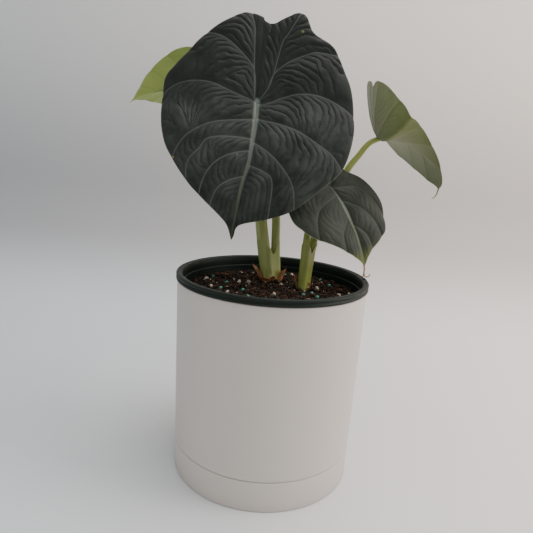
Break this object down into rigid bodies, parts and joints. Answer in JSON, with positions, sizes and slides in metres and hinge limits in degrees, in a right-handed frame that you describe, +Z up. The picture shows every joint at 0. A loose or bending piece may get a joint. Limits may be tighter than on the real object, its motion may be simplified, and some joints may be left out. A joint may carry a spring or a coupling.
{
  "type": "potted alocasia",
  "caption": "Potted elephant-ear plant: dark quilted shield-shaped leaves on fleshy stalks in a nursery pot that hangs inside a plain white cover pot with a matching saucer.",
  "frame": {"origin": "on the pot's axis, at the underside of the saucer", "axes": "+Z is up along the pot's axis, -Y is the side that the large front leaf faces, +X is to its right"},
  "size_m": [0.2889, 0.2079, 0.3937],
  "materials": {
    "white_plastic": "satin white moulded plastic",
    "dark_plastic": "thin dark green moulded plastic",
    "soil": "moist peat and bark potting mix",
    "dark_leaf": "dark grey-green quilted leaf with paler veins",
    "pale_leaf": "olive green leaf seen from its paler underside",
    "petiole": "smooth fleshy yellow-green stalk",
    "dry_sheath": "dry papery brown sheath",
    "fertiliser": "green coated bead",
    "perlite": "chalky white expanded grain",
    "bark": "rough brown bark chip"
  },
  "bodies": {
    "root": {"saucer": "white_plastic", "cover_pot": "white_plastic", "nursery_pot": "dark_plastic", "potting_soil": "soil", "petiole_front": "petiole", "petiole_small": "petiole", "petiole_side": "petiole", "petiole_back": "petiole", "leaf_front": "dark_leaf", "leaf_small": "dark_leaf", "leaf_side": "pale_leaf", "leaf_back": "pale_leaf", "sheath_left": "dry_sheath", "sheath_left_low": "dry_sheath", "sheath_right": "dry_sheath", "sheath_small": "dry_sheath", "fertiliser_bead_1": "fertiliser", "fertiliser_bead_2": "fertiliser", "fertiliser_bead_3": "fertiliser", "fertiliser_bead_4": "fertiliser", "fertiliser_bead_5": "fertiliser", "fertiliser_bead_6": "fertiliser", "fertiliser_bead_7": "fertiliser", "fertiliser_bead_8": "fertiliser", "fertiliser_bead_9": "fertiliser", "fertiliser_bead_10": "fertiliser", "fertiliser_bead_11": "fertiliser", "fertiliser_bead_12": "fertiliser", "perlite_1": "perlite", "perlite_2": "perlite", "perlite_3": "perlite", "perlite_4": "perlite", "perlite_5": "perlite", "perlite_6": "perlite", "perlite_7": "perlite", "perlite_8": "perlite", "perlite_9": "perlite", "perlite_10": "perlite", "perlite_11": "perlite", "perlite_12": "perlite", "bark_chip_1": "bark", "bark_chip_2": "bark", "bark_chip_3": "bark", "bark_chip_4": "bark", "bark_chip_5": "bark", "bark_chip_6": "bark"}
  },
  "joints": []
}
